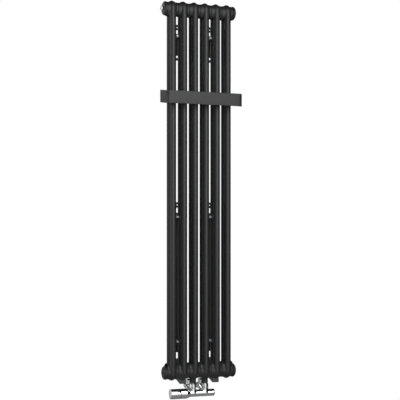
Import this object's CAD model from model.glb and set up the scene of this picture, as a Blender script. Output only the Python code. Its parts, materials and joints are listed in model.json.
import json
import math

import bmesh
import bpy
import numpy as np
from mathutils import Matrix, Vector


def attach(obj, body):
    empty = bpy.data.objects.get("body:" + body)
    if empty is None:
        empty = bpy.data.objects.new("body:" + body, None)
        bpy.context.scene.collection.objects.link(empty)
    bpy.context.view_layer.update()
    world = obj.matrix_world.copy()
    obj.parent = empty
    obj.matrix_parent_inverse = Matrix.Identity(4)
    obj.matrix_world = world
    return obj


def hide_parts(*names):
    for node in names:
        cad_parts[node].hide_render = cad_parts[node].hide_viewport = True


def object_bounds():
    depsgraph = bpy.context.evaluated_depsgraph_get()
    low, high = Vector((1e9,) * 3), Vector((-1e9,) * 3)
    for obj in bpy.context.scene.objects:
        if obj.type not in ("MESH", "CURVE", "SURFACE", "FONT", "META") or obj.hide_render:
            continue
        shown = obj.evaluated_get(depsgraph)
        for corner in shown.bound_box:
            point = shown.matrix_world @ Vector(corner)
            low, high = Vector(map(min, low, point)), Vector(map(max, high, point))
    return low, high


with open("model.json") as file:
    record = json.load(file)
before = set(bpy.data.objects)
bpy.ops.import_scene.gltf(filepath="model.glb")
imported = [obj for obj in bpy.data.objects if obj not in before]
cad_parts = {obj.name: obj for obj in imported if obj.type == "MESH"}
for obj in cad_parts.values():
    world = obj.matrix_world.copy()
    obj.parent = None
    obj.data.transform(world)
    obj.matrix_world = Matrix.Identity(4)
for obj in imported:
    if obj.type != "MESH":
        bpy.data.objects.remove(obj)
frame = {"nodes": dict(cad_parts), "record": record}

cad_lo, cad_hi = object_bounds()
scene = bpy.context.scene

# ------------------------------------------------------------------ sizes (mm)
# Drawing frame: X right, Y back to the wall, Z up from the radiator's middle.
PITCH, TUBE_R, COL_Y, HUB_Z, NECK_R, WELD_Z = 46.0, 12.5, 19.0, 714.5, 26.0, 676.0
SECTION_X = [PITCH * (i - 2.5) for i in range(6)]
WALL_Y, ROW_Z = 75.0, -710.0
VALVE_Z, PORT_X = -800.0, 25.0
ELBOW_Y, ELBOW_Z = 53.0, -778.5
BRACKET_X = 69.0
SHIFT = np.array([0.0, -WALL_Y, -ROW_Z])


def row(p):
    """Drawing-frame mm to row-frame metres."""
    return (np.asarray(p, float) + SHIFT) / 1000.0


# ------------------------------------------------------------------ materials
def nodes_of(name):
    m = bpy.data.materials.new(name)
    m.use_nodes = True
    nt = m.node_tree
    bsdf = next(n for n in nt.nodes if n.type == "BSDF_PRINCIPLED")
    return m, nt, bsdf


def add(nt, kind, **kw):
    n = nt.nodes.new(kind)
    for k, v in kw.items():
        setattr(n, k, v)
    return n


def coords(nt, scale=1.0, stretch=None):
    tc = add(nt, "ShaderNodeTexCoord")
    mp = add(nt, "ShaderNodeMapping")
    s = stretch or (1, 1, 1)
    mp.inputs["Scale"].default_value = (scale * s[0], scale * s[1], scale * s[2])
    nt.links.new(tc.outputs["Object"], mp.inputs["Vector"])
    return mp.outputs["Vector"]


def noise(nt, vec, scale, detail=2.0, rough=0.5):
    n = add(nt, "ShaderNodeTexNoise")
    n.inputs["Scale"].default_value = scale
    n.inputs["Detail"].default_value = detail
    n.inputs["Roughness"].default_value = rough
    nt.links.new(vec, n.inputs["Vector"])
    return n.outputs["Fac"]


def ramp(nt, fac, a, b, lo=0.0, hi=1.0):
    r = add(nt, "ShaderNodeMapRange")
    r.inputs["From Min"].default_value = lo
    r.inputs["From Max"].default_value = hi
    r.inputs["To Min"].default_value = a
    r.inputs["To Max"].default_value = b
    nt.links.new(fac, r.inputs["Value"])
    return r.outputs["Result"]


def mix_color(nt, fac, a, b):
    m = add(nt, "ShaderNodeMix", data_type="RGBA")
    m.inputs["A"].default_value = (*a, 1)
    m.inputs["B"].default_value = (*b, 1)
    nt.links.new(fac, m.inputs["Factor"])
    return m.outputs["Result"]


def bump(nt, height, strength, distance, normal=None):
    b = add(nt, "ShaderNodeBump")
    b.inputs["Strength"].default_value = strength
    b.inputs["Distance"].default_value = distance
    nt.links.new(height, b.inputs["Height"])
    if normal is not None:
        nt.links.new(normal, b.inputs["Normal"])
    return b.outputs["Normal"]


def enamel(name, dark, light, rough, grain=1.0):
    """Stove enamel: fine powder texture over a faint orange peel."""
    m, nt, b = nodes_of(name)
    v = coords(nt)
    fine = noise(nt, v, 1500.0, 2.0, 0.6)
    cell = add(nt, "ShaderNodeTexVoronoi")
    cell.inputs["Scale"].default_value = 1100.0
    nt.links.new(v, cell.inputs["Vector"])
    peel = noise(nt, v, 260.0, 1.0)
    cloud = noise(nt, v, 18.0, 3.0, 0.6)
    nt.links.new(mix_color(nt, ramp(nt, cloud, 0.0, 1.0, 0.3, 0.7), dark, light), b.inputs["Base Color"])
    both = add(nt, "ShaderNodeMath", operation="ADD")
    nt.links.new(ramp(nt, fine, -0.05, 0.05), both.inputs[0])
    nt.links.new(ramp(nt, cloud, rough - 0.03, rough + 0.03, 0.3, 0.7), both.inputs[1])
    nt.links.new(both.outputs[0], b.inputs["Roughness"])
    n1 = bump(nt, peel, 0.10 * grain, 0.0006)
    n2 = bump(nt, cell.outputs["Distance"], 0.16 * grain, 0.00012, n1)
    n3 = bump(nt, fine, 0.16 * grain, 0.00010, n2)
    nt.links.new(n3, b.inputs["Normal"])
    return m


def metal(name, dark, light, rough, spread, scratch=0.0, bumpy=0.0, stretch=None, scale=1.0):
    m, nt, b = nodes_of(name)
    b.inputs["Metallic"].default_value = 1.0
    v = coords(nt, scale, stretch)
    cloud = noise(nt, v, 55.0, 4.0, 0.6)
    nt.links.new(mix_color(nt, ramp(nt, cloud, 0.0, 1.0, 0.3, 0.7), dark, light), b.inputs["Base Color"])
    fine = noise(nt, v, 900.0, 3.0, 0.6)
    s = add(nt, "ShaderNodeMath", operation="ADD")
    nt.links.new(ramp(nt, cloud, rough - spread, rough + spread, 0.3, 0.7), s.inputs[0])
    nt.links.new(ramp(nt, fine, -spread * 0.5, spread * 0.5), s.inputs[1])
    nt.links.new(s.outputs[0], b.inputs["Roughness"])
    normal = None
    if bumpy:
        normal = bump(nt, noise(nt, v, 240.0, 2.0), bumpy, 0.0002)
    if scratch:
        sc = noise(nt, coords(nt, 1.0, (1, 1, 30)), 700.0, 3.0, 0.7)
        normal = bump(nt, sc, scratch, 0.00005, normal)
    if normal is not None:
        nt.links.new(normal, b.inputs["Normal"])
    return m


def plastic(name, dark, light, rough, grain=0.1, scale=900.0):
    m, nt, b = nodes_of(name)
    v = coords(nt)
    cloud = noise(nt, v, 60.0, 2.0)
    fine = noise(nt, v, scale, 3.0, 0.6)
    nt.links.new(mix_color(nt, ramp(nt, cloud, 0.0, 1.0, 0.3, 0.7), dark, light), b.inputs["Base Color"])
    nt.links.new(ramp(nt, fine, rough - 0.05, rough + 0.05), b.inputs["Roughness"])
    nt.links.new(bump(nt, fine, grain, 0.0001), b.inputs["Normal"])
    return m


MAT = {
    "black_enamel": enamel("black_enamel", (0.0185, 0.0187, 0.0195), (0.0235, 0.0238, 0.0247), 0.47),
    "bracket_black": enamel("bracket_black", (0.034, 0.037, 0.038), (0.044, 0.047, 0.048), 0.52, 0.8),
    "chrome": metal("chrome", (0.80, 0.81, 0.82), (0.84, 0.845, 0.85), 0.055, 0.018, scratch=0.02),
    "brass": metal("brass", (0.62, 0.44, 0.18), (0.76, 0.57, 0.26), 0.27, 0.06, scratch=0.12),
    "zinc_screw": metal("zinc_screw", (0.56, 0.58, 0.60), (0.68, 0.69, 0.70), 0.30, 0.07, bumpy=0.08),
    "spring_steel": metal("spring_steel", (0.42, 0.42, 0.43), (0.52, 0.52, 0.53), 0.32, 0.05, scratch=0.1),
    "inner_steel": metal("inner_steel", (0.26, 0.25, 0.24), (0.38, 0.36, 0.34), 0.5, 0.08, bumpy=0.2),
    "capsule_metal": metal("capsule_metal", (0.62, 0.62, 0.63), (0.72, 0.72, 0.73), 0.3, 0.05, scratch=0.15),
    "fibre_seal": plastic("fibre_seal", (0.03, 0.03, 0.03), (0.045, 0.045, 0.045), 0.7, 0.3),
    "white_plastic": plastic("white_plastic", (0.76, 0.76, 0.74), (0.82, 0.82, 0.80), 0.42, 0.05),
    "saddle_plastic": plastic("saddle_plastic", (0.022, 0.022, 0.023), (0.03, 0.03, 0.031), 0.55, 0.25),
}

# the support arms have a slightly lighter coat than the wall rails
ARM_COAT = enamel("arm_black", (0.060, 0.066, 0.066), (0.076, 0.082, 0.082), 0.48, 0.8)

# every CAD node gets its slot's procedural finish, shown or not
slot_of = {s["node"]: s["material_slot"] for s in frame["record"]["subparts"]}
for name, ob in frame["nodes"].items():
    mat = MAT[slot_of[name]]
    if not ob.material_slots:
        ob.data.materials.append(mat)
    for ms in ob.material_slots:
        ms.material = mat


# ------------------------------------------------------------------ mesh tools
def new_object(name, verts, faces, slot, body="radiator", replaces=(), angle=32.0,
               normals=None, metres=False):
    """Build one piece from drawing-frame millimetres."""
    co = np.asarray(verts, float)
    if not metres:
        co = row(co)
    me = bpy.data.meshes.new(name)
    me.from_pydata([tuple(c) for c in co], [], [tuple(int(i) for i in f) for f in faces])
    me.validate()
    me.update()
    ob = bpy.data.objects.new(name, me)
    scene.collection.objects.link(ob)
    return dress(ob, slot, body, replaces, angle)


def dress(ob, slot, body="radiator", replaces=(), angle=32.0):
    me = ob.data
    me.materials.clear()
    me.materials.append(MAT[slot])
    me.shade_smooth()
    if angle is not None:
        me.set_sharp_from_angle(angle=math.radians(angle))
    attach(ob, body)
    if replaces:
        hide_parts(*replaces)
    return ob


def rounded(points, default=0.0, steps=4):
    """Round the corners of an open 2-D profile. A point may carry its own radius."""
    pts = [(p[0], p[1], p[2] if len(p) > 2 else default) for p in points]
    outp = []
    n = len(pts)
    for i, (x, y, r) in enumerate(pts):
        if i in (0, n - 1) or r <= 0:
            outp.append((x, y))
            continue
        a = np.array(pts[i - 1][:2]) - (x, y)
        b = np.array(pts[i + 1][:2]) - (x, y)
        la, lb = np.linalg.norm(a), np.linalg.norm(b)
        if la < 1e-6 or lb < 1e-6:
            outp.append((x, y))
            continue
        a, b = a / la, b / lb
        ang = math.acos(max(-1.0, min(1.0, float(a @ b))))
        if ang > math.pi - 0.03:
            outp.append((x, y))
            continue
        t = min(r / math.tan(ang / 2), la * 0.49, lb * 0.49)
        rr = t * math.tan(ang / 2)
        mid = (a + b) / np.linalg.norm(a + b)
        c = np.array((x, y)) + mid * (rr / math.sin(ang / 2))
        p0 = np.array((x, y)) + a * t - c
        p1 = np.array((x, y)) + b * t - c
        a0 = math.atan2(p0[1], p0[0])
        a1 = math.atan2(p1[1], p1[0])
        d = (a1 - a0 + math.pi) % (2 * math.pi) - math.pi
        for k in range(steps + 1):
            w = a0 + d * k / steps
            outp.append((c[0] + rr * math.cos(w), c[1] + rr * math.sin(w)))
    return outp


def basis(axis):
    a = Vector(axis).normalized()
    u = Vector((0, 0, 1)) if abs(a.z) < 0.9 else Vector((1, 0, 0))
    u = (u - a * u.dot(a)).normalized()
    return np.array(a), np.array(u), np.array(a.cross(u))


def lathe(profile, origin, axis=(1, 0, 0), segs=96, close=False, wobble=None):
    """Turn (along, radius) points about an axis through origin. r = 0 ends in a pole."""
    a, u, w = basis(axis)
    o = np.asarray(origin, float)
    verts, faces, rings = [], [], []
    for s, r in profile:
        if r < 1e-6:
            rings.append([len(verts)])
            verts.append(o + a * s)
            continue
        idx = []
        for k in range(segs):
            t = 2 * math.pi * k / segs
            rr = r + (wobble(s, t) if wobble else 0.0)
            idx.append(len(verts))
            verts.append(o + a * s + (u * math.cos(t) + w * math.sin(t)) * rr)
        rings.append(idx)
    pairs = list(zip(rings[:-1], rings[1:]))
    if close:
        pairs.append((rings[-1], rings[0]))
    for p, q in pairs:
        if len(p) == 1 and len(q) == 1:
            continue
        for k in range(segs):
            k2 = (k + 1) % segs
            if len(p) == 1:
                faces.append((p[0], q[k2], q[k]))
            elif len(q) == 1:
                faces.append((p[k], p[k2], q[0]))
            else:
                faces.append((p[k], p[k2], q[k2], q[k]))
    return verts, faces


def merge(*parts):
    verts, faces = [], []
    for v, f in parts:
        n = len(verts)
        verts.extend(list(v))
        faces.extend([tuple(i + n for i in q) for q in f])
    return verts, faces


def move(part, d):
    v, f = part
    return [np.asarray(p) + np.asarray(d, float) for p in v], f


def prism(poly, d, h0, h1, plane="XZ"):
    """Extrude a closed 2-D outline. plane names the outline's axes; it runs along the third."""
    n = len(poly)
    verts = []
    for h in (h0, h1):
        for p, q in poly:
            verts.append({"XZ": (p, h, q), "XY": (p, q, h), "YZ": (h, p, q)}[plane])
    faces = [tuple(range(n)), tuple(range(2 * n - 1, n - 1, -1))]
    for k in range(n):
        faces.append((k, (k + 1) % n, n + (k + 1) % n, n + k))
    return verts, faces


def rect(x0, x1, y0, y1):
    return [(x0, y0), (x1, y0), (x1, y1), (x0, y1)]


def round_poly(poly, r, steps=5):
    """Round every corner of a closed outline."""
    n = len(poly)
    outp = []
    for i in range(n):
        rr = r[i] if isinstance(r, (list, tuple)) else r
        trio = [poly[i - 1], (*poly[i], rr), poly[(i + 1) % n]]
        outp.extend(rounded(trio, 0.0, steps)[1:-1] if rr > 0 else [poly[i]])
    return outp


def temp(name, part):
    me = bpy.data.meshes.new(name)
    me.from_pydata([tuple(np.asarray(p) / 1000.0) for p in part[0]], [], [tuple(f) for f in part[1]])
    ob = bpy.data.objects.new(name, me)
    scene.collection.objects.link(ob)
    bm = bmesh.new()
    bm.from_mesh(me)
    bmesh.ops.recalc_face_normals(bm, faces=bm.faces)
    bm.to_mesh(me)
    bm.free()
    return ob


def baked(ob):
    """Apply an object's modifiers and return its mesh as (verts in mm, faces)."""
    dg = bpy.context.evaluated_depsgraph_get()
    ev = ob.evaluated_get(dg)
    me = ev.to_mesh()
    part = ([np.array(v.co) * 1000.0 for v in me.vertices], [tuple(p.vertices) for p in me.polygons])
    ev.to_mesh_clear()
    me0 = ob.data
    bpy.data.objects.remove(ob)
    bpy.data.meshes.remove(me0)
    return part


def boolean(part, cutters, op="DIFFERENCE", bevel=0.0, bevel_angle=35.0, segments=3):
    """Cut closed solids, then soften the edges with a bevel."""
    ob = temp("tmp", part)
    cuts = []
    if cutters is not None:
        for c in cutters:
            cu = temp("tmp_cut", c)
            cuts.append(cu)
            m = ob.modifiers.new("b", "BOOLEAN")
            m.operation = op
            m.object = cu
            m.solver = "EXACT"
    if bevel > 0:
        m = ob.modifiers.new("v", "BEVEL")
        m.width = bevel / 1000.0
        m.segments = segments
        m.limit_method = "ANGLE"
        m.angle_limit = math.radians(bevel_angle)
        m.use_clamp_overlap = True
    part = baked(ob)
    for cu in cuts:
        me = cu.data
        bpy.data.objects.remove(cu)
        bpy.data.meshes.remove(me)
    return part


def hexagon(cx, cy, af, turn=0.0):
    rc = af / math.sqrt(3.0)
    return [(cx + rc * math.cos(math.radians(60 * k + turn)),
             cy + rc * math.sin(math.radians(60 * k + turn))) for k in range(6)]


# ------------------------------------------------------------------ smooth solids
def smin(a, b, k):
    h = np.clip(0.5 + 0.5 * (b - a) / k, 0.0, 1.0)
    return b * (1 - h) + a * h - k * h * (1 - h)


def gradient(f, p, e=0.02):
    g = np.empty_like(p)
    for i in range(3):
        d = np.zeros(3)
        d[i] = e
        g[:, i] = (f(*(p + d).T) - f(*(p - d).T)) / (2 * e)
    return g


def surface(f, lo, hi, h):
    """Quad mesh of f = 0 inside a box (surface nets, then pulled onto the true surface)."""
    lo, hi = np.asarray(lo, float), np.asarray(hi, float)
    n = np.ceil((hi - lo) / h).astype(int) + 1
    ax = [lo[i] + h * np.arange(n[i]) for i in range(3)]
    X, Y, Z = np.meshgrid(*ax, indexing="ij")
    D = f(X, Y, Z)
    inside = D < 0
    cells = tuple(n - 1)
    total = np.zeros(cells + (3,))
    count = np.zeros(cells, int)
    grid = np.stack([X, Y, Z], -1)
    crossings = []
    for a in range(3):
        s0 = [slice(None)] * 3
        s1 = [slice(None)] * 3
        s0[a], s1[a] = slice(0, -1), slice(1, None)
        d0, d1 = D[tuple(s0)], D[tuple(s1)]
        m = inside[tuple(s0)] != inside[tuple(s1)]
        idx = np.argwhere(m)
        t = d0[m] / (d0[m] - d1[m])
        p = grid[tuple(s0)][m].copy()
        p[:, a] += t * h
        b, c = [q for q in range(3) if q != a]
        for ob_ in (0, -1):
            for oc_ in (0, -1):
                j = idx.copy()
                j[:, b] += ob_
                j[:, c] += oc_
                ok = np.all((j >= 0) & (j < np.array(cells)), axis=1)
                np.add.at(total, tuple(j[ok].T), p[ok])
                np.add.at(count, tuple(j[ok].T), 1)
        crossings.append((a, b, c, idx, inside[tuple(s0)][m]))
    used = count > 0
    index = -np.ones(cells, int)
    index[used] = np.arange(used.sum())
    verts = total[used] / count[used][:, None]
    faces = []
    for a, b, c, idx, sign in crossings:
        ok = (idx[:, b] > 0) & (idx[:, c] > 0) & (idx[:, b] < cells[b]) & (idx[:, c] < cells[c])
        idx, sign = idx[ok], sign[ok]
        q = []
        for ob_, oc_ in ((0, 0), (-1, 0), (-1, -1), (0, -1)):
            j = idx.copy()
            j[:, b] += ob_
            j[:, c] += oc_
            q.append(index[tuple(j.T)])
        q = np.stack(q, 1)
        flip = sign if a != 1 else ~sign
        q[~flip] = q[~flip][:, ::-1]
        faces.append(q)
    faces = np.concatenate(faces)
    faces = faces[np.all(faces >= 0, axis=1)]
    for _ in range(5):
        g = gradient(f, verts)
        gg = np.maximum((g * g).sum(1), 0.05)
        step = (f(*verts.T) / gg)[:, None] * g
        ln = np.linalg.norm(step, axis=1, keepdims=True)
        verts = verts - step * np.minimum(1.0, 0.5 * h / np.maximum(ln, 1e-9))
    return verts, faces


def smooth_solid(name, f, lo, hi, h, cuts, slot, body="radiator", replaces=(), offset=(0, 0, 0), mirror_z=False,
                 mirror_x=False):
    """An object from a distance field, cut by planes, shaded with the field's own normals."""
    verts, faces = surface(f, lo, hi, h)
    bm = bmesh.new()
    vs = [bm.verts.new(v) for v in verts]
    for q in faces:
        try:
            bm.faces.new([vs[i] for i in q])
        except ValueError:
            pass
    for co, no in cuts:
        bmesh.ops.bisect_plane(bm, geom=bm.verts[:] + bm.edges[:] + bm.faces[:], plane_co=co, plane_no=no,
                               clear_outer=True)
    loose = [v for v in bm.verts if not v.link_faces]
    bmesh.ops.delete(bm, geom=loose, context="VERTS")
    me = bpy.data.meshes.new(name)
    bm.to_mesh(me)
    bm.free()
    co = np.empty(len(me.vertices) * 3)
    me.vertices.foreach_get("co", co)
    co = co.reshape(-1, 3)
    nrm = gradient(f, co)
    nrm /= np.maximum(np.linalg.norm(nrm, axis=1, keepdims=True), 1e-9)
    sgn = np.array([-1.0 if mirror_x else 1.0, 1.0, -1.0 if mirror_z else 1.0])
    co, nrm = co * sgn, nrm * sgn
    co = (co + np.asarray(offset, float)) / 1000.0
    me.vertices.foreach_set("co", co.ravel())
    if mirror_z != mirror_x:
        me.flip_normals()
    me.update()
    me.shade_smooth()
    me.normals_split_custom_set_from_vertices([tuple(v) for v in nrm])
    ob = bpy.data.objects.new(name, me)
    scene.collection.objects.link(ob)
    me.materials.append(MAT[slot])
    return ob


def put(ob, body, replaces, at=(0, 0, 0)):
    ob.location = Vector(row(at))
    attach(ob, body)
    if replaces:
        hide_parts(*replaces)
    return ob


# ------------------------------------------------------------------ columns
def tube_part(y, x):
    z = WELD_Z
    prof = [(-z - 0.6, TUBE_R), (-z - 0.3, TUBE_R + 0.10), (-z, TUBE_R + 0.16), (-z + 0.5, TUBE_R + 0.10),
            (-z + 1.0, TUBE_R), (-z + 6.0, TUBE_R)]
    prof += [(v, TUBE_R) for v in np.linspace(-z + 60, z - 60, 12)]
    prof += [(z - 6.0, TUBE_R), (z - 1.0, TUBE_R), (z - 0.5, TUBE_R + 0.10), (z, TUBE_R + 0.16),
             (z + 0.3, TUBE_R + 0.10), (z + 0.6, TUBE_R)]
    return lathe(prof, (x, y, 0), (0, 0, 1), 72)


for i, x in enumerate(SECTION_X):
    for side, y in (("front", -COL_Y), ("rear", COL_Y)):
        v, f = tube_part(y, x)
        new_object("%s_column_%d" % (side, i + 1), v, f, "black_enamel",
                   replaces=["%s_tube_%d" % (side, i + 1)], angle=60.0)


# ------------------------------------------------------------------ headers
def header_field(port=None, depth=6.5):
    """Distance to one pressed header; hub at the origin, columns below it."""
    def f(x, y, z):
        rho = np.hypot(y, z)
        ring = np.hypot(rho - COL_Y, x) - TUBE_R
        # the neck is deeper on the side of the tubes
        neck = smin(rho - NECK_R, np.hypot(y, z + depth) - 24.0, 2.5)
        # pressed edge: the neck draws in a little towards the joint with the next section
        e = np.clip((np.abs(x) - 17.5) / 5.5, 0.0, 1.0)
        neck = neck + 1.7 * e * e
        d = smin(ring, neck, 4.6)
        stub = np.hypot(x, np.abs(y) - COL_Y) - TUBE_R
        stub = np.maximum(stub, z)
        k = 3.0 + 5.0 * np.clip((-z - 12.0) / 14.0, 0.0, 1.0)
        return np.minimum(d, smin(stub, neck, k))

    if port is None:
        return f

    def g(x, y, z):
        # the lower headers that carry a connection bush have a weld fillet round it
        bush = np.maximum(np.hypot(x - port, y) - 12.2, -z + 10.0)
        bush = np.maximum(bush, z - 33.6)
        return smin(f(x, y, z), bush, 3.6)
    return g


def header_mesh(name, port=None, down=False):
    half = PITCH / 2.0
    hi_z = 37.0 if port is not None else 34.0
    return smooth_solid(name, header_field(port, 14.0 if down else 6.5), (-half - 2.2, -34.0, -40.6), (half + 2.2, 34.0, hi_z), 1.15,
                        [((half, 0, 0), (1, 0, 0)), ((-half, 0, 0), (-1, 0, 0)), ((0, 0, -38.5), (0, 0, -1))],
                        "black_enamel", mirror_z=down)


plain_up = header_mesh("top_head_1")
put(plain_up, "radiator", ["top_header_1"], (SECTION_X[0], 0, HUB_Z))
for i in range(1, 6):
    ob = bpy.data.objects.new("top_head_%d" % (i + 1), plain_up.data)
    scene.collection.objects.link(ob)
    put(ob, "radiator", ["top_header_%d" % (i + 1)], (SECTION_X[i], 0, HUB_Z))
plain_down = header_mesh("bottom_head_1", down=True)
put(plain_down, "radiator", ["bottom_header_1"], (SECTION_X[0], 0, -HUB_Z))
for i in (1, 4, 5):
    ob = bpy.data.objects.new("bottom_head_%d" % (i + 1), plain_down.data)
    scene.collection.objects.link(ob)
    put(ob, "radiator", ["bottom_header_%d" % (i + 1)], (SECTION_X[i], 0, -HUB_Z))
for i, port in ((2, -2.0), (3, 2.0)):
    ob = header_mesh("bottom_head_%d" % (i + 1), port=port, down=True)
    put(ob, "radiator", ["bottom_header_%d" % (i + 1)], (SECTION_X[i], 0, -HUB_Z))


# weld beads round the section joints
def weld_bead(x, z, seed):
    r = NECK_R - 1.35
    prof = [(-1.9, r - 0.6), (-1.5, r - 0.10), (-1.0, r + 0.22), (-0.5, r + 0.40), (0.0, r + 0.46),
            (0.5, r + 0.40), (1.0, r + 0.22), (1.5, r - 0.10), (1.9, r - 0.6)]

    def wob(s, t):
        return 0.07 * math.sin(38 * t + seed) + 0.05 * math.sin(17 * t + 2.3 * seed + s) + 0.04 * math.sin(5 * t + seed)
    return lathe(prof, (x, 0, z), (1, 0, 0), 240, wobble=wob)


for label, z in (("top", HUB_Z), ("bottom", -HUB_Z)):
    for k in range(5):
        v, f = weld_bead(SECTION_X[k] + PITCH / 2, z, k + (0 if z > 0 else 9))
        new_object("%s_weld_bead_%d" % (label, k + 1), v, f, "black_enamel", angle=70.0)

# connection bushes
bushes = []
for px in (-PORT_X, PORT_X):
    prof = rounded([(-735.0, 12.2), (-761.0, 12.2, 0.9), (-761.0, 9.6, 0.4), (-757.0, 9.3)])
    bushes.append(lathe([(s, r) for s, r in prof], (px, 0, 0), (0, 0, 1), 72))
v, f = merge(*bushes)
new_object("lower_bushes", v, f, "black_enamel", replaces=["connection_bushes"])


# ------------------------------------------------------------------ plugs
END_X = 138.0


def plug(sx, z, kind):
    """Outer face of an end plug, the flange and the visible part of its sealing ring."""
    prof = [(END_X + 0.6, 19.0), (END_X + 1.0, 26.6, 0.4), (END_X + 1.7, 27.5, 0.6), (END_X + 3.8, 27.5, 1.2),
            (END_X + 6.3, 26.8, 4.0), (END_X + 8.7, 25.4, 4.0), (END_X + 10.9, 23.2, 3.0), (END_X + 12.4, 20.6, 2.0),
            (END_X + 13.0, 18.6, 0.8)]
    if kind == "blank":
        prof += [(END_X + 13.0, 14.6, 0.6), (END_X + 12.2, 13.8, 0.6), (END_X + 12.2, 0.0)]
    else:
        prof += [(END_X + 13.0, 12.6, 0.6), (END_X + 12.3, 11.9, 0.6), (END_X + 12.3, 4.0)]
    p = lathe([(s, r) for s, r in rounded(prof)], (0, 0, z), (1, 0, 0), 120)
    if kind == "blank":
        # close the back so that the key recess can be cut
        solid = [(END_X + 0.6, 0.0), (END_X + 0.6, 19.0)] + prof[1:]
        p = lathe([(s, r) for s, r in rounded(solid)], (0, 0, z), (1, 0, 0), 120)
        p = boolean(p, [prism(hexagon(0, z, 12.0, 30.0), None, END_X + 7.0, END_X + 15.0, "YZ")])
    if sx < 0:
        v, f = p
        p = ([np.asarray(q) * (-1, 1, 1) for q in v], [tuple(reversed(q)) for q in f])
    return p


v, f = plug(-1, HUB_Z, "vent")
new_object("vent_end_plug", v, f, "black_enamel", replaces=["vent_plug"])
for n, (sx, z) in enumerate(((1, HUB_Z), (-1, -HUB_Z), (1, -HUB_Z))):
    v, f = plug(sx, z, "blank")
    new_object("end_plug_%d" % (n + 1), v, f, "black_enamel",
               replaces=["blanking_plugs"] if n == 0 else ())
rings = [lathe(rounded([(sx * END_X, 20.0), (sx * END_X, 23.6, 0.3), (sx * (END_X + 1.1), 23.6, 0.3),
                        (sx * (END_X + 1.1), 20.0)]), (0, 0, z), (1, 0, 0), 96)
         for sx in (-1, 1) for z in (HUB_Z, -HUB_Z)]
v, f = merge(*rings)
new_object("plug_seals", v, f, "fibre_seal", replaces=["plug_gaskets"])

# ------------------------------------------------------------------ air vent
VX = -151.0
prof = rounded([(VX + 2.0, 5.0), (VX, 5.0), (VX, 7.6, 0.3), (VX - 0.5, 8.0, 0.3), (VX - 2.6, 8.0, 0.4),
                (VX - 3.0, 7.2, 0.2), (VX - 3.0, 4.0, 0.2), (VX - 9.0, 4.0, 0.2), (VX - 9.1, 4.5, 0.2),
                (VX - 9.7, 4.5, 0.2), (VX - 10.5, 3.7, 0.3), (VX - 10.5, 2.6)])
prof += [(VX - 9.6, 2.55), (VX - 9.6, 0.0)]
v, f = lathe(prof, (0, 0, HUB_Z), (1, 0, 0), 72)
new_object("air_vent_body", v, f, "chrome", replaces=["vent_body"])
sq = boolean(prism(rect(-1.75, 1.75, HUB_Z - 1.75, HUB_Z + 1.75), None, VX - 14.0, VX - 9.0, "YZ"), None,
             bevel=0.35)
cyl_part = lathe(rounded([(VX - 10.0, 0.0), (VX - 10.0, 2.48, 0.3), (VX - 8.0, 2.48)]), (0, 0, HUB_Z), (1, 0, 0), 48)
v, f = merge(sq, cyl_part)
new_object("bleed_key_screw", v, f, "brass", body="bleed_screw", replaces=["vent_screw"])


def nozzle_field(x, y, z):
    ringd = np.maximum(np.abs(np.hypot(y, z) - 5.13) - 1.07, np.abs(x - (VX - 6.0)) - 2.7)
    spout = np.maximum(np.hypot(x - (VX - 6.0), y) - 1.9, np.maximum(z + 4.8, -10.5 - z))
    d = smin(ringd, spout, 1.2)
    bore = np.maximum(np.hypot(x - (VX - 6.0), y) - 0.9, z + 4.0)
    return np.maximum(d, -bore)


ob = smooth_solid("bleed_nozzle_ring", nozzle_field, (VX - 9.6, -7.2, -11.4), (VX - 2.4, 7.2, 7.2), 0.22, [],
                  "white_plastic")
put(ob, "bleed_nozzle", ["vent_nozzle"], (0, 0, HUB_Z))


# ------------------------------------------------------------------ wall rails
def channel_outline(x, w=50.0, t=2.5, y0=63.5, y1=75.0, ro=3.0, ri=0.8):
    h = w / 2
    pts = [(x - h, y1), (x - h, y0), (x + h, y0), (x + h, y1), (x + h - t, y1), (x + h - t, y0 + t),
           (x - h + t, y0 + t), (x - h + t, y1)]
    return round_poly(pts, [0, ro, ro, 0, 0, ri, ri, 0], 5)


def hole(x, z, r, y0, y1, segs=40):
    return prism([(x + r * math.cos(2 * math.pi * k / segs), z + r * math.sin(2 * math.pi * k / segs))
                  for k in range(segs)], None, y0, y1, "XZ")


def slot_cut(x, za, zb, r, y0, y1):
    pts = [(x + r * math.cos(t), zb + r * math.sin(t)) for t in np.linspace(0, math.pi, 17)]
    pts += [(x + r * math.cos(t), za + r * math.sin(t)) for t in np.linspace(math.pi, 2 * math.pi, 17)]
    return prism(pts, None, y0, y1, "XZ")


def wall_rail(name, node, x, z0, z1, bolts, pins, slot, clamps):
    p = prism(channel_outline(x), None, z0, z1, "XY")
    cuts = [hole(x, z, 4.75, 61, 68) for z in bolts] + [hole(x, z, 2.4, 61, 68, 28) for z in pins]
    cuts += [slot_cut(x, slot[0], slot[1], 4.0, 61, 68)]
    cuts += [hole(x + dx, z, 3.05, 61, 68, 24) for z in clamps for dx in (-16.8, 16.8)]
    v, f = boolean(p, cuts, bevel=0.35, bevel_angle=50.0, segments=2)
    new_object(name, v, f, "bracket_black", replaces=[node])


for side, sx in (("left", -1), ("right", 1)):
    x = sx * BRACKET_X
    wall_rail("wall_bracket_" + side, "upper_bracket_" + side, x, 524.0, 667.5, (539.0,), (656.0,), (630.0, 642.0),
              (612.0,))
    wall_rail("wall_rail_" + side, "lower_rail_" + side, x, -643.0, -42.0, (), (-53.0,), (-81.0, -68.4),
              (-102.0, -594.0))

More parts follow.
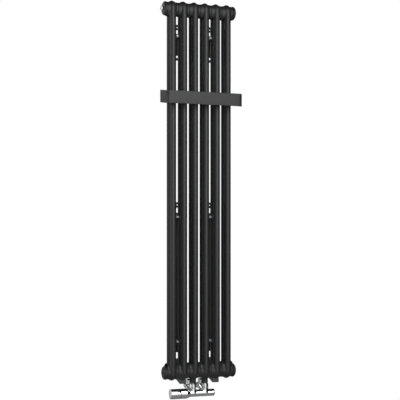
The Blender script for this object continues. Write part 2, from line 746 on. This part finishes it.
# support arms: a cradle under the lower header and a wall plate
for side, sx in (("left", -1), ("right", 1)):
    x = sx * BRACKET_X
    outline = [(-6.0, -760.5), (35.0, -748.8), (75.0, -748.8), (75.0, -668.0), (71.5, -668.0), (71.5, -728.0),
               (34.5, -740.0), (-6.0, -740.0)]
    p = prism(outline, None, x - 13.2, x + 13.2, "YZ")
    cuts = [hole(x, z, 3.6, 68, 78, 32) for z in (-702.0, -718.0)]
    # the cradle follows the header's bulge and necks
    bulge = [(-13.4 + 26.8 * k / 40.0) for k in range(41)]
    bulge = [(u, max(NECK_R + 1.0, COL_Y + math.sqrt(max(0.0, 12.9 ** 2 - u * u)))) for u in bulge]
    cuts.append(lathe([(-20.0, 0.0), (-20.0, NECK_R + 1.0)] + bulge + [(20.0, NECK_R + 1.0), (20.0, 0.0)],
                      (x, 0, -HUB_Z), (1, 0, 0), 96))
    v, f = boolean(p, cuts, bevel=1.0, bevel_angle=40.0, segments=3)
    arm = new_object("support_arm_cradle_" + side, v, f, "bracket_black", replaces=["support_arm_" + side])
    arm.data.materials[0] = ARM_COAT

# clamps: a pressed strap round the front of the rear tube, a saddle behind it, two screws
places = [(sx * BRACKET_X, z) for sx in (-1, 1) for z in (612.0, -102.0, -594.0)]


def arc_pts(r, y_cut, n=28):
    t = math.asin((y_cut - COL_Y) / r)
    return [(r * math.cos(a), COL_Y + r * math.sin(a)) for a in np.linspace(t, -math.pi - t, n)]


strap = [(22.0, 11.0), (22.0, 14.0)] + arc_pts(12.9, 14.0) + [(-22.0, 14.0), (-22.0, 11.0)]
strap += list(reversed(arc_pts(15.9, 11.0)))
strap0 = prism(strap, None, -8.0, 8.0, "XY")
bar0 = boolean(strap0, [hole(dx, 0, 3.2, 8, 16, 28) for dx in (-16.8, 16.8)]
               + [hole(dx, 0, 5.6, 2, 11, 40) for dx in (-16.8, 16.8)], bevel=0.4, bevel_angle=50.0)
v, f = merge(*[move(bar0, (x, 0, z)) for x, z in places])
new_object("column_clamp_straps", v, f, "bracket_black", replaces=["clamp_bars"])
sad = [(22.0, 24.0), (22.0, 63.5), (-22.0, 63.5), (-22.0, 24.0)] + list(reversed([(a, b) for a, b in [
    (12.9 * math.cos(t), COL_Y + 12.9 * math.sin(t)) for t in
    np.linspace(math.asin(5.0 / 12.9), math.pi - math.asin(5.0 / 12.9), 30)]]))
sad0 = prism(sad, None, -10.0, 10.0, "XY")
sad0 = boolean(sad0, [hole(dx, 0, 3.2, 20, 66, 28) for dx in (-16.8, 16.8)], bevel=0.8, bevel_angle=50.0)
v, f = merge(*[move(sad0, (x, 0, z)) for x, z in places])
new_object("column_clamp_saddles", v, f, "saddle_plastic", replaces=["clamp_saddles"])


def cap_screw(prof, socket_af, socket_y, depth):
    p = lathe(rounded(prof, 0.0, 3), (0, 0, 0), (0, 1, 0), 48)
    return boolean(p, [prism(hexagon(0, 0, socket_af), None, socket_y - 1.0, socket_y + depth, "XZ")])


scr = cap_screw([(5.5, 0.0), (5.5, 3.9, 0.3), (6.4, 5.0, 0.7), (7.6, 5.3, 0.4), (11.0, 5.3, 0.3), (11.0, 3.0),
                 (68.4, 3.0, 0.3), (69.1, 2.4), (69.1, 0.0)], 5.0, 5.5, 2.8)
v, f = merge(*[move(scr, (x + dx, 0, z)) for x, z in places for dx in (-16.8, 16.8)])
new_object("column_clamp_screws", v, f, "zinc_screw", replaces=["clamp_screws"])

# ------------------------------------------------------------------ towel rail
RAIL_Z, RAIL_H, RAIL_T, RAIL_HALF, RAIL_FRONT, RAIL_BACK, BEND = 359.0, 50.0, 3.5, 158.0, -75.0, 10.0, 15.0
RISE, RISE_Y, FIX_Z = 0.16, -67.0, 369.0


def smoothpos(v, k=3.0):
    """max(v, 0) with a soft start."""
    return 0.0 if v < -k else v if v > k else (v + k) ** 2 / (4 * k)


def rail_part():
    t = RAIL_T / 2
    r = BEND - t
    xo, yf = RAIL_HALF - t, RAIL_FRONT + t
    path, normal = [], []

    def add_pt(p, n):
        path.append(p)
        normal.append(n)
    for y in np.linspace(RAIL_BACK, yf + r, 8)[:-1]:
        add_pt((-xo, y), (-1, 0))
    for k in range(21):
        a = math.pi + math.pi / 2 * k / 20
        add_pt((-xo + r + r * math.cos(a), yf + r + r * math.sin(a)), (math.cos(a), math.sin(a)))
    for xx in np.linspace(-xo + r, xo - r, 14)[1:-1]:
        add_pt((xx, yf), (0, -1))
    for k in range(21):
        a = 1.5 * math.pi + math.pi / 2 * k / 20
        add_pt((xo - r + r * math.cos(a), yf + r + r * math.sin(a)), (math.cos(a), math.sin(a)))
    for y in np.linspace(yf + r, RAIL_BACK, 8)[1:]:
        add_pt((xo, y), (1, 0))
    e = 1.1
    sec = round_poly([(t, -RAIL_H / 2), (t, RAIL_H / 2), (-t, RAIL_H / 2), (-t, -RAIL_H / 2)], e, 4)
    n = len(sec)
    verts, faces = [], []
    for (px, py), (nx, ny) in zip(path, normal):
        for s, z in sec:
            y = py + ny * s
            verts.append((px + nx * s, y, RAIL_Z + z + RISE * smoothpos(y - RISE_Y)))
    m = len(path)
    for i in range(m - 1):
        for k in range(n):
            a, b = i * n + k, i * n + (k + 1) % n
            faces.append((a, b, b + n, a + n))
    faces.append(tuple(range(n - 1, -1, -1)))
    faces.append(tuple((m - 1) * n + k for k in range(n)))
    return verts, faces


v, f = rail_part()
rail_main = (v, f)
tabs = []
for sx in (-1, 1):
    xa, xb = sorted((sx * 155.5, sx * 84.0))
    tb = prism(round_poly(rect(xa, xb, FIX_Z - 15.0, FIX_Z + 15.0), 2.5, 4), None, -5.9, -2.4, "XZ")
    tabs.append(boolean(tb, [hole(sx * x, FIX_Z, 2.6, -8, 0, 28) for x in (140.0, 92.0)], bevel=0.4,
                        bevel_angle=50.0))
v, f = merge(rail_main, *tabs)
new_object("flat_towel_rail", v, f, "black_enamel", replaces=["towel_rail"], angle=35.0)

plates = []
for sx in (-1, 1):
    xa, xb = sorted((sx * 149.0, sx * 83.0))
    pl = prism(round_poly(rect(xa, xb, FIX_Z - 12.0, FIX_Z + 12.0), 2.0, 4), None, -36.4, -31.9, "XZ")
    plates.append(boolean(pl, [hole(sx * x, FIX_Z, 2.7, -40, -28, 28) for x in (140.0, 92.0)], bevel=0.4,
                          bevel_angle=50.0))
    for c0, c1 in ((128.2, 132.2), (97.8, 101.8)):
        ca, cb = sorted((sx * c0, sx * c1))
        plates.append(boolean(prism(rect(ca, cb, FIX_Z - 12.0, FIX_Z + 12.0), None, -32.2, -24.9, "XZ"), None,
                              bevel=0.4))
v, f = merge(*plates)
new_object("towel_rail_plates", v, f, "black_enamel", replaces=["rail_clamp_plates"])
scr = cap_screw([(-40.4, 0.0), (-40.4, 3.4, 0.4), (-39.2, 4.4, 0.5), (-36.4, 4.4, 0.2), (-36.4, 2.5),
                 (2.6, 2.5, 0.2), (3.2, 2.0), (3.2, 0.0)], 3.5, -40.4, 2.6)
v, f = merge(*[move(scr, (sx * x, 0, FIX_Z)) for sx in (-1, 1) for x in (140.0, 92.0)])
new_object("towel_rail_screws", v, f, "zinc_screw", replaces=["rail_screws"])

# ------------------------------------------------------------------ valve
tilt = math.atan2(ELBOW_Z - VALVE_Z, ELBOW_Y)
UY, UZ = math.cos(tilt), math.sin(tilt)
ARM_LEN = math.hypot(ELBOW_Y, ELBOW_Z - VALVE_Z)


def valve_field(x, y, z):
    d = np.hypot(y, z) - 14.0
    for px in (-PORT_X, PORT_X):
        up = np.maximum(np.hypot(x - px, y) - 13.6, -z)
        t = y * UY + z * UZ
        s = -y * UZ + z * UY
        ob_ = np.maximum(np.hypot(x - px, s) - 12.3, -t)
        d = smin(d, smin(up, ob_, 2.0), 3.0)
    return d


ob = smooth_solid("valve_casting", valve_field, (-48.5, -16.5, -16.5), (59.5, 22.5, 22.5), 0.8,
                  [((-46.0, 0, 0), (-1, 0, 0)), ((56.7, 0, 0), (1, 0, 0)), ((0, 0, 18.6), (0, 0, 1)),
                   ((0, 18.8 * UY, 18.8 * UZ), (0, UY, UZ))], "chrome")
put(ob, "radiator", ["valve_body"], (0, 0, VALVE_Z))
# inside faces that the union nuts and the arms meet
liners = []
for px in (-PORT_X, PORT_X):
    liners.append(lathe([(18.4, 13.6), (18.4, 10.3), (25.5, 10.3), (25.5, 7.0)], (px, 0, VALVE_Z), (0, 0, 1), 64))
    liners.append(lathe([(17.6, 11.7), (20.2, 11.7)], (px, 0, VALVE_Z), (0, UY, UZ), 64))
liners.append(lathe([(55.8, 13.2), (58.0, 13.2)], (0, 0, VALVE_Z), (1, 0, 0), 72))
v, f = merge(*liners)
new_object("valve_joint_rings", v, f, "chrome")

prof = rounded([(57.1, 13.0), (57.1, 14.0, 0.35), (62.2, 14.0, 1.6), (63.8, 11.8, 0.6), (63.8, 0.0)])
v, f = lathe(prof, (0, 0, VALVE_Z), (1, 0, 0), 128)
new_object("valve_right_cap", v, f, "chrome", replaces=["valve_end_cap"], angle=50.0)

# union nuts and the nipple collars above them
nuts = []
for px in (-PORT_X, PORT_X):
    hexp = prism(hexagon(px, 0, 27.0, 30.0), None, VALVE_Z + 18.8, VALVE_Z + 36.5, "XY")
    env = lathe(rounded([(18.8, 0.0), (18.8, 13.1, 0.3), (19.7, 13.9, 0.4), (35.6, 13.9, 0.4), (36.5, 13.0, 0.3),
                         (36.5, 0.0)]), (px, 0, VALVE_Z), (0, 0, 1), 72)
    nuts.append(boolean(hexp, [env], op="INTERSECT", bevel=0.3, bevel_angle=30.0))
v, f = merge(*nuts)
new_object("valve_union_nuts", v, f, "chrome", replaces=["union_nuts"], angle=28.0)
col = [lathe(rounded([(36.0, 8.6), (37.4, 8.6, 0.2), (37.4, 11.0, 0.3), (39.0, 11.0, 0.3), (39.0, 9.0)]),
             (px, 0, VALVE_Z), (0, 0, 1), 64) for px in (-PORT_X, PORT_X)]
v, f = merge(*col)
new_object("valve_nipple_collars", v, f, "chrome", replaces=["union_nipples"])


# oblique arms to the wall
def arm_field(x, y, z):
    t = y * UY + z * UZ
    s = -y * UZ + z * UY
    barrel = np.maximum(np.maximum(np.hypot(x, s) - 12.3, -t), t - ARM_LEN)
    ey, ez = y - ELBOW_Y, z - (ELBOW_Z - VALVE_Z)
    ball = np.sqrt(x * x + ey * ey + ez * ez) - 12.9
    bonnet = np.maximum(np.hypot(x, ey) - 10.2, -ez)
    tail = np.maximum(np.hypot(x, ez) - 11.6, -ey)
    return smin(smin(barrel, ball, 2.0), smin(bonnet, tail, 1.5), 2.0)


zc = ELBOW_Z - VALVE_Z + 17.5
for label, px in (("supply", -PORT_X), ("return", PORT_X)):
    ob = smooth_solid("wall_arm_" + label, arm_field, (-14.8, 12.0, -16.0), (14.8, 78.0, 42.0), 0.8,
                      [((0, 19.2 * UY, 19.2 * UZ), (0, -UY, -UZ)), ((0, 0, zc), (0, 0, 1)),
                       ((0, 74.5, 0), (0, 1, 0))], "chrome")
    put(ob, "radiator", [label + "_arm"], (px, 0, VALVE_Z))
    # threaded tail that enters the wall
    th = [(WALL_Y - 0.6, 11.6), (WALL_Y - 0.5, 10.2)]
    yy = WALL_Y - 0.2
    while yy < WALL_Y + 11.0:
        th += [(yy, 10.2), (yy + 0.9, 9.35)]
        yy += 1.8
    th += [(WALL_Y + 11.6, 10.0), (WALL_Y + 12.0, 9.3), (WALL_Y + 12.0, 5.6), (WALL_Y + 2.0, 5.5)]
    v, f = lathe(th, (px, 0, ELBOW_Z), (0, 1, 0), 72)
    new_object("wall_tail_" + label, v, f, "chrome")
caps = []
for px in (-PORT_X, PORT_X):
    p = lathe(rounded([(17.6, 0.0), (17.6, 10.2, 0.3), (24.0, 10.2, 2.6), (27.6, 8.2, 2.4), (29.4, 4.8, 3.0),
                       (29.5, 0.0)], 0.0, 6), (px, ELBOW_Y, ELBOW_Z), (0, 0, 1), 96)
    caps.append(boolean(p, [prism(hexagon(px, ELBOW_Y, 5.0), None, ELBOW_Z + 25.5, ELBOW_Z + 31.0, "XY")]))
v, f = merge(*caps)
new_object("shutoff_dome_caps", v, f, "chrome", replaces=["shutoff_caps"], angle=40.0)

# ------------------------------------------------------------------ thermostat
prof = rounded([(-40.0, 13.2), (-40.0, 14.8, 0.4), (-44.0, 16.4, 1.5), (-50.5, 19.4, 2.0), (-54.0, 20.0, 1.2),
                (-79.4, 20.0, 0.45), (-79.4, 17.42), (-68.0, 17.4)], 0.0, 5)
v, f = lathe(prof, (0, 0, VALVE_Z), (1, 0, 0), 144)
new_object("thermostat_sleeve", v, f, "chrome", replaces=["thermostat_collar"], angle=50.0)
prof = rounded([(-81.2, 17.3), (-81.2, 20.0, 0.5), (-120.5, 20.0, 3.6),
                (-120.5, 12.5, 0.5), (-119.9, 12.0, 0.5), (-119.9, 0.0)], 0.0, 7)
v, f = lathe(prof, (0, 0, VALVE_Z), (1, 0, 0), 144)
new_object("thermostat_grip", v, f, "chrome", body="knob", replaces=["thermostat_knob"], angle=50.0)
# dark skirt seen in the groove beside the sleeve
v, f = lathe([(-68.0, 17.3), (-81.3, 17.3)], (0, 0, VALVE_Z), (1, 0, 0), 144)
new_object("thermostat_skirt", v, f, "saddle_plastic", body="knob")

# ------------------------------------------------------------------ studio
floor_me = bpy.data.meshes.new("studio_floor")
bm = bmesh.new()
bmesh.ops.create_circle(bm, cap_ends=True, segments=96, radius=1.15)
bm.to_mesh(floor_me)
bm.free()
floor = bpy.data.objects.new("studio_floor", floor_me)
scene.collection.objects.link(floor)
floor.location = (0.0, -0.05, cad_lo.z - 0.19)
fm, nt, b = nodes_of("studio_floor")
cl = noise(nt, coords(nt), 3.0, 2.0)
nt.links.new(mix_color(nt, cl, (0.46, 0.46, 0.46), (0.50, 0.50, 0.50)), b.inputs["Base Color"])
b.inputs["Roughness"].default_value = 0.8
floor_me.materials.append(fm)

world = bpy.data.worlds.new("studio")
scene.world = world
world.use_nodes = True
nt = world.node_tree
nt.nodes.clear()
outn = nt.nodes.new("ShaderNodeOutputWorld")
bg = nt.nodes.new("ShaderNodeBackground")
white = nt.nodes.new("ShaderNodeBackground")
white.inputs["Color"].default_value = (1, 1, 1, 1)
white.inputs["Strength"].default_value = 1.0
lp = nt.nodes.new("ShaderNodeLightPath")
mx = nt.nodes.new("ShaderNodeMixShader")
tc = nt.nodes.new("ShaderNodeTexCoord")
sep = nt.nodes.new("ShaderNodeSeparateXYZ")
cr = nt.nodes.new("ShaderNodeValToRGB")
nt.links.new(tc.outputs["Generated"], sep.inputs[0])
mr = nt.nodes.new("ShaderNodeMapRange")
mr.inputs["From Min"].default_value = -1.0
mr.inputs["From Max"].default_value = 1.0
nt.links.new(sep.outputs["Z"], mr.inputs["Value"])
nt.links.new(mr.outputs["Result"], cr.inputs["Fac"])
stops = [(0.0, 0.30), (0.30, 0.34), (0.47, 0.55), (0.53, 0.42), (0.62, 0.16), (0.74, 0.05), (1.0, 0.03)]
el = cr.color_ramp.elements
while len(el) > 1:
    el.remove(el[-1])
el[0].position, el[0].color = stops[0][0], (stops[0][1],) * 3 + (1,)
for p, c in stops[1:]:
    e = el.new(p)
    e.color = (c, c, c, 1)
# the room is dim in front and at the sides, with a bright backdrop behind the wall side
back = nt.nodes.new("ShaderNodeMapRange")
back.interpolation_type = "SMOOTHSTEP"
back.inputs["From Min"].default_value = 0.10
back.inputs["From Max"].default_value = 0.75
back.inputs["To Min"].default_value = 0.45
back.inputs["To Max"].default_value = 0.60
nt.links.new(sep.outputs["Y"], back.inputs["Value"])
# the right half of the room is darker than the left
side = nt.nodes.new("ShaderNodeMapRange")
side.interpolation_type = "SMOOTHSTEP"
side.inputs["From Min"].default_value = -0.38
side.inputs["From Max"].default_value = 0.02
side.inputs["To Min"].default_value = 1.9
side.inputs["To Max"].default_value = 0.10
nt.links.new(sep.outputs["X"], side.inputs["Value"])
both = nt.nodes.new("ShaderNodeMath")
both.operation = "MULTIPLY"
nt.links.new(back.outputs["Result"], both.inputs[0])
nt.links.new(side.outputs["Result"], both.inputs[1])
mul = nt.nodes.new("ShaderNodeMix")
mul.data_type = "RGBA"
mul.blend_type = "MULTIPLY"
mul.inputs["Factor"].default_value = 1.0
nt.links.new(cr.outputs["Color"], mul.inputs["A"])
nt.links.new(both.outputs[0], mul.inputs["B"])
nt.links.new(mul.outputs["Result"], bg.inputs["Color"])
bg.inputs["Strength"].default_value = 1.0
nt.links.new(lp.outputs["Is Camera Ray"], mx.inputs["Fac"])
nt.links.new(bg.outputs[0], mx.inputs[1])
nt.links.new(white.outputs[0], mx.inputs[2])
nt.links.new(mx.outputs[0], outn.inputs[0])


def softbox(name, loc, target, sx, sy, power):
    ld = bpy.data.lights.new(name, "AREA")
    ld.shape = "RECTANGLE"
    ld.size, ld.size_y = sx, sy
    ld.energy = power
    lo = bpy.data.objects.new(name, ld)
    scene.collection.objects.link(lo)
    lo.location = loc
    lo.rotation_euler = (Vector(target) - Vector(loc)).to_track_quat("-Z", "Y").to_euler()
    return lo


mid = (0.0, -0.05, 0.70)
softbox("key_front", (0.08, -2.35, 1.70), (0.06, -0.05, 1.16), 2.1, 2.4, 51.5)
softbox("key_low", (0.08, -2.35, -0.20), (0.06, -0.05, -0.14), 2.1, 1.5, 9.6)
softbox("left_strip", (-2.5, 0.1, 0.9), mid, 0.6, 2.4, 14.0)
softbox("back_fill", (-1.1, 2.2, 2.3), mid, 1.2, 1.2, 8.0)

# ------------------------------------------------------------------ camera
cam_data = bpy.data.cameras.new("camera")
cam = bpy.data.objects.new("camera", cam_data)
scene.collection.objects.link(cam)
scene.camera = cam
F_PX, YAW = 1040.8, math.radians(20.19)
cam_data.sensor_width = 36.0
cam_data.sensor_fit = "HORIZONTAL"
cam_data.lens = F_PX / 400.0 * 36.0
cam_data.shift_y = 42.85 / 400.0
cam_data.shift_x = 0.1 / 400.0
cam_data.dof.use_dof = False
cam_data.clip_start, cam_data.clip_end = 0.05, 100.0
cam.location = Vector(row((-1421.0, -3876.0, -205.0)))
view_dir = Vector((math.sin(YAW), math.cos(YAW), 0.0))
cam.rotation_euler = view_dir.to_track_quat("-Z", "Y").to_euler()

scene.view_settings.view_transform = "Standard"
scene.view_settings.look = "None"
